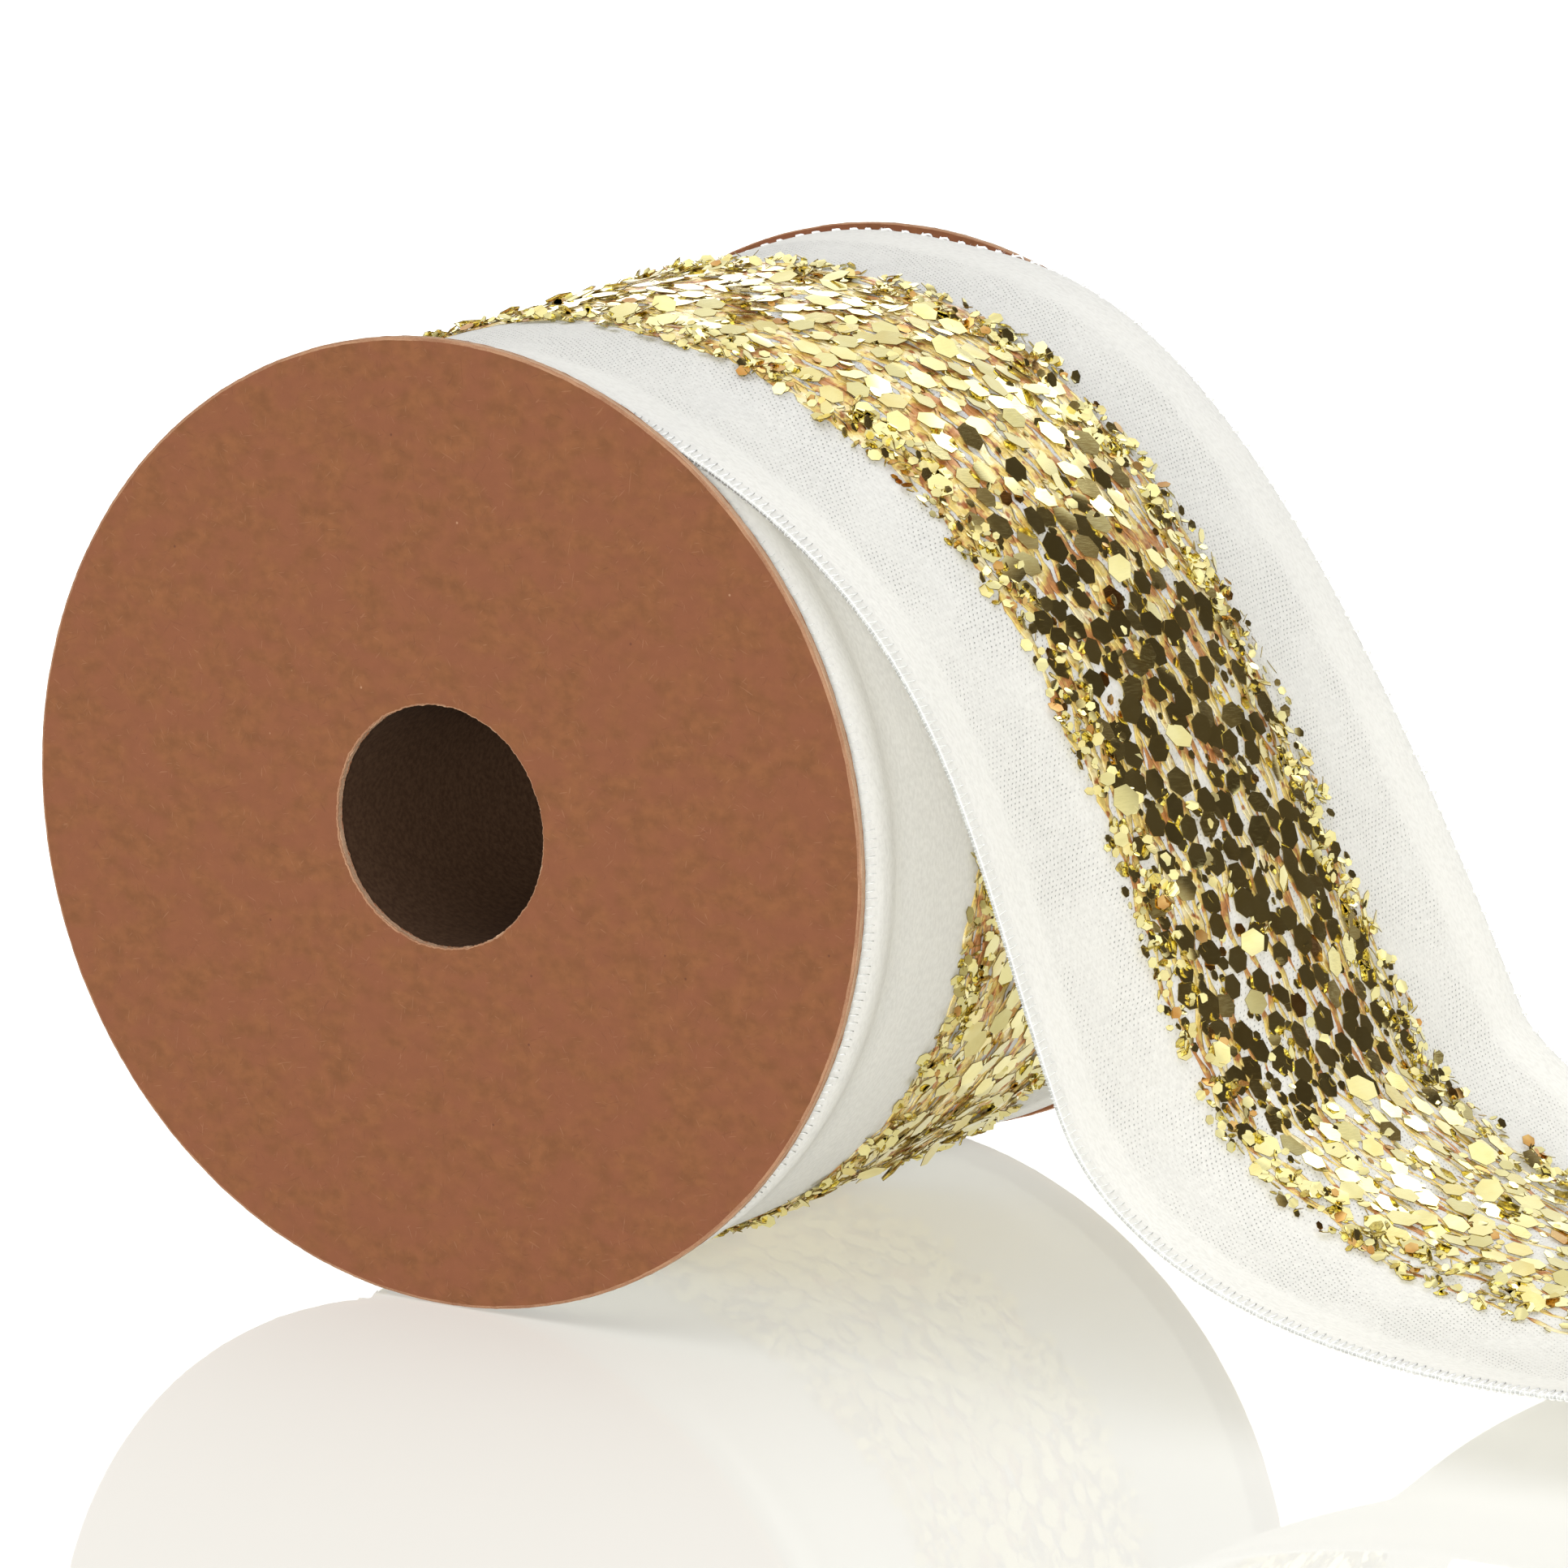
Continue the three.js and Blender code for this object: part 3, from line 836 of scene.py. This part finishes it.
def disc_layer(name, node, face_material, edge_material, side, seed):
    """One layer of a flange: a flat ring with its cut edges rounded over. side is -1 at the front."""
    low, high = depths(node)
    start = OUTER_HALF - max(abs(low), abs(high))
    layer_depths = np.linspace(start, start + high - low, 5)
    rim, bore = [], []
    for depth in layer_depths:
        y = side * (OUTER_HALF - depth)
        rim.append((FLANGE_RADIUS - rounded(depth, 0.26 * MM, 0.1 * MM), y))
        bore.append((BORE_RADIUS + rounded(depth, 0.12 * MM, 0.08 * MM), y))
    profile = bore[::-1] + rim
    slots = [1, 1, 1, 1, 0, 1, 1, 1, 1, 0]
    inner, outer = range(5), range(5, 10)
    if side > 0:
        profile = profile[::-1]
        slots = slots[-2::-1] + slots[-1:]
        inner, outer = range(5, 10), range(5)
    shape = Shape()
    turned(shape, profile, slots, ragged=ragged_edges(seed, inner, outer, 0.045 * MM, 0.02 * MM))
    piece = shape.build(name, "spool", [face_material, edge_material], smooth=False)
    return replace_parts(piece, node)


def flange(label, side, seed):
    layers = (
        ("outer_facing_paper", "outer_facing", KRAFT, KRAFT_CUT, "kraft_facing"),
        ("board_layer", "flange_board", BOARD, BOARD, "flange_board"),
        ("inner_facing_paper", "inner_facing", KRAFT, KRAFT_CUT, "kraft_facing"),
    )
    for number, (name, node, face, edge, slot) in enumerate(layers):
        disc_layer(f"{label}_{name}", f"{label}_{node}", face, edge, side, seed + number)


def core_tube(name, node):
    inner, outer = radii(node)
    low, high = depths(node)
    shape = Shape()
    turned(shape, [(inner, low), (outer, low), (outer, high), (inner, high)], [0, 0, 0, 0], 240)
    piece = shape.build(name, "spool", [CORE], smooth=False)
    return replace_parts(piece, node)


def spool():
    flange("front", -1, 10)
    flange("rear", 1, 20)
    core_tube("core_inner_paper", "core_inner_ply")
    core_tube("core_outer_paper", "core_outer_ply")
    for node, finish, slot in (
        ("front_glue_ring", hot_glue(), "glue"),
        ("rear_glue_ring", bpy.data.materials["hot_glue"], "glue"),
        ("start_tape", clear_tape(), "tape"),
    ):
        kept = frame["nodes"][node]
        kept.data.materials.clear()
        kept.data.materials.append(finish)


def wound_ribbon():
    body, run = "spool", WOUND
    seen = run.length - 1.15 * OUTER_TURN
    inner_steps, outer_steps = np.arange(0, seen, 4.4 * MM), np.arange(seen, run.length, 1.8 * MM)
    along = np.concatenate([inner_steps, outer_steps, [run.length]])
    rng = np.random.default_rng(5)
    sway = 0.16 * MM * waves(rng, along, 60 * MM, 700 * MM) * (1 - smooth(along, seen - 40 * MM, seen))
    fabric = cloth("wound_ribbon_cloth", body, run, along, 3 * MM, sway)
    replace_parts(fabric, "wound_ribbon_fabric")
    wire_along = np.concatenate([np.arange(0, seen, 2 * MM), np.arange(seen, run.length, 0.8 * MM)])
    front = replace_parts(edge_wire("wound_front_wire", body, run, wire_along, -1), "wound_front_edge_wire")
    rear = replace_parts(edge_wire("wound_rear_wire", body, run, wire_along, 1), "wound_rear_edge_wire")
    start, stop = run.length - OUTER_TURN + 1 * MM, run.length - 0.5 * MM
    flakes = large_flakes("wound_large_flakes", body, run, start, stop, 31, 0.3)
    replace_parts(flakes, "wound_glitter_band")
    others = [
        fine_glitter("wound_fine_glitter", body, run, start, stop, 32, 0.3),
        gold_strands("wound_gold_strands", body, run, start, stop, 33),
        edge_stitches("wound_edge_stitches", body, run, start, stop, 34),
    ]


def loose_fibre_places(rng):
    """Where fibres have worked loose: thickly on the rear edge over the top of the roll, thinly elsewhere,
    and along the cut end of the tail."""
    run = LOOSE
    over_top = 0.52 * run.length
    places = []
    for _ in range(230):
        along = over_top + rng.uniform(0, 50) * MM
        places.append((along, RIBBON_HALF + 0.05 * MM, 1.0, rng.normal(0, 0.7), rng.uniform(0.3, 0.75) * MM))
    for _ in range(260):
        side = rng.choice([-1, 1])
        along = rng.uniform(2 * MM, run.length)
        places.append((along, side * RIBBON_HALF, side, rng.normal(0, 1.2), rng.uniform(0.2, 0.5) * MM))
    for _ in range(170):
        across = rng.uniform(-1, 1) * RIBBON_HALF
        places.append((run.length - 0.1 * MM, across, rng.normal(0, 0.3), 1.0, rng.uniform(0.3, 1.3) * MM))
    return places


def loose_ribbon():
    body, run = "loose_ribbon", LOOSE
    along = np.linspace(0, run.length, int(run.length / (0.6 * MM)))
    fabric = cloth("loose_ribbon_cloth", body, run, along, 1.2 * MM)
    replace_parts(fabric, "loose_ribbon_fabric")
    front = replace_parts(edge_wire("loose_front_wire", body, run, along, -1), "loose_front_edge_wire")
    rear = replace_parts(edge_wire("loose_rear_wire", body, run, along, 1), "loose_rear_edge_wire")
    start, stop = 0.5 * MM, run.length - 0.5 * MM
    flakes = large_flakes("loose_large_flakes", body, run, start, stop, 41)
    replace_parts(flakes, "loose_glitter_band")
    others = [
        fine_glitter("loose_fine_glitter", body, run, start, stop, 42),
        gold_strands("loose_gold_strands", body, run, start, stop, 43, thinning=0.6),
        edge_stitches("loose_edge_stitches", body, run, 0.2 * MM, run.length - 0.2 * MM, 44),
        frayed_fibres("loose_frayed_fibres", body, run, loose_fibre_places(np.random.default_rng(45)), 46),
    ]


# ======== stage ========
def heading(azimuth, elevation):
    """The unit vector that looks that way: azimuth 0 is +Y, and it grows towards +X."""
    a, e = math.radians(azimuth), math.radians(elevation)
    return (math.sin(a) * math.cos(e), math.cos(a) * math.cos(e), math.sin(e))


# Each sun's azimuth, elevation and spread in degrees, and its strength.
SUNS = ((151, 12, 8, 3.05), (100, 30, 90, 0.3), (0, 88, 90, 2.15), (-32, 25, 90, 0.5), (-120, 30, 90, 0.6))


def soft_world():
    """A white studio: one broad bright lamp behind and above, and dark openings that the gold mirrors."""
    world = bpy.data.worlds.new("studio")
    bpy.context.scene.world = world
    nodes = Nodes(world)
    looking = nodes.add("ShaderNodeTexCoord").outputs["Generated"]

    def lobe(azimuth, elevation, radius, soft):
        values = {0: looking, 1: heading(azimuth, elevation)}
        near = nodes.add("ShaderNodeVectorMath", values, operation="DOT_PRODUCT").outputs["Value"]
        rim = [math.cos(math.radians(radius + half)) for half in (soft, -soft)]
        return nodes.step(near, *rim)

    level = nodes.step(nodes.noise(looking, 4.5, 2.0), 0.38, 0.62, 0.8, 1.2)
    # Each lobe's azimuth, elevation, radius and softness in degrees, and how much it adds or takes away.
    lamps = ((3, 35, 7, 5, 2.0), (-31, 14, 10, 4, 1.3), (-150, 50, 24, 8, 0.8))
    openings = ((37, 15, 29, 6, 0.94), (-108, 14, 15, 5, 0.85), (160, 22, 17, 5, 0.8))
    for azimuth, elevation, radius, soft, gain in lamps:
        level = nodes.plus(level, nodes.times(lobe(azimuth, elevation, radius, soft), gain))
    for azimuth, elevation, radius, soft, loss in openings:
        shade = nodes.times(lobe(azimuth, elevation, radius, soft), loss)
        level = nodes.times(level, nodes.math("SUBTRACT", 1.0, shade))
    background = nodes.tree.nodes["Background"]
    tint = nodes.mix(nodes.step(level, 0.1, 0.7), (1.0, 0.78, 0.55, 1), (1.0, 0.995, 0.985, 1))
    nodes.feed(background.inputs["Color"], tint)
    nodes.feed(background.inputs["Strength"], level)
    world.cycles_visibility.diffuse = False


def white_floor():
    size = 6.0
    mesh = bpy.data.meshes.new("floor")
    corners = [(-size, -size, 0), (size, -size, 0), (size, size, 0), (-size, size, 0)]
    mesh.from_pydata(corners, [], [(0, 1, 2, 3)])
    made = bpy.data.materials.new("white_gloss_sheet")
    nodes = Nodes(made)
    tree = nodes.tree
    tree.nodes.remove(tree.nodes["Principled BSDF"])
    white = nodes.add("ShaderNodeBsdfDiffuse", {"Color": (0.55, 0.545, 0.51, 1)}).outputs[0]
    glow = nodes.add("ShaderNodeEmission", {"Color": (1, 0.99, 0.93, 1), "Strength": 0.37}).outputs[0]
    body = nodes.add("ShaderNodeAddShader", {0: white, 1: glow}).outputs[0]
    gloss = nodes.add("ShaderNodeBsdfGlossy", {"Color": (1, 1, 1, 1), "Roughness": 0.02}).outputs[0]
    both = nodes.add("ShaderNodeMixShader", {0: 0.1, 1: body, 2: gloss}).outputs[0]
    nodes.feed(tree.nodes["Material Output"].inputs["Surface"], both)
    mesh.materials.append(made)
    floor = bpy.data.objects.new("floor", mesh)
    bpy.context.scene.collection.objects.link(floor)
    return floor


def floor_lamp(floor):
    """A lit screen far behind the spool. Only the floor picks it up, and its gloss washes out to white."""
    data = bpy.data.lights.new("screen", "AREA")
    data.shape, data.size, data.size_y = "RECTANGLE", 2.2, 1.6
    radiance = 3.8
    data.energy = radiance * math.pi * data.size * data.size_y
    screen = bpy.data.objects.new("screen", data)
    bpy.context.scene.collection.objects.link(screen)
    distance, toward = 5, Vector(heading(-32, 12.3))
    facing = toward.to_track_quat("Z", "Y").to_matrix().to_4x4()
    screen.matrix_world = Matrix.Translation(distance * toward) @ facing
    lit = bpy.data.collections.new("lit_by_screen")
    lit.objects.link(floor)
    screen.light_linking.receiver_collection = lit


def soft_suns():
    """Broad soft light on the cloth and paper, which the mirror flakes don't pick up."""
    for number, (azimuth, elevation, spread, strength) in enumerate(SUNS):
        data = bpy.data.lights.new(f"sky_{number}", "SUN")
        data.energy, data.angle = strength, math.radians(spread)
        sky = bpy.data.objects.new(data.name, data)
        bpy.context.scene.collection.objects.link(sky)
        toward = Vector(heading(azimuth, elevation))
        sky.matrix_world = toward.to_track_quat("Z", "Y").to_matrix().to_4x4()
        sky.visible_glossy = False


def camera():
    data = bpy.data.cameras.new("camera")
    data.lens, data.sensor_width = CAMERA_LENS, CAMERA_SENSOR
    data.clip_start, data.clip_end = 0.01, 30
    made = bpy.data.objects.new("camera", data)
    bpy.context.scene.collection.objects.link(made)
    a, e, roll = CAMERA_AZIMUTH, CAMERA_ELEVATION, CAMERA_ROLL
    forward = Vector((-math.sin(a) * math.cos(e), math.cos(a) * math.cos(e), -math.sin(e)))
    level = forward.cross(Vector((0, 0, 1))).normalized()
    up = level.cross(forward)
    right = level * math.cos(roll) + up * math.sin(roll)
    top = up * math.cos(roll) - level * math.sin(roll)
    hub = Vector((AXIS_X, depths("front_outer_facing")[0], AXIS_Z))
    turn = Matrix((right, top, -forward)).transposed().to_4x4()
    made.matrix_world = Matrix.Translation(hub + CAMERA_FROM_HUB) @ turn
    bpy.context.scene.camera = made
    bpy.context.scene.view_settings.view_transform = "Standard"
    bpy.context.scene.cycles.diffuse_bounces = 10


camera()
soft_world()
floor_lamp(white_floor())
soft_suns()
spool()
wound_ribbon()
loose_ribbon()
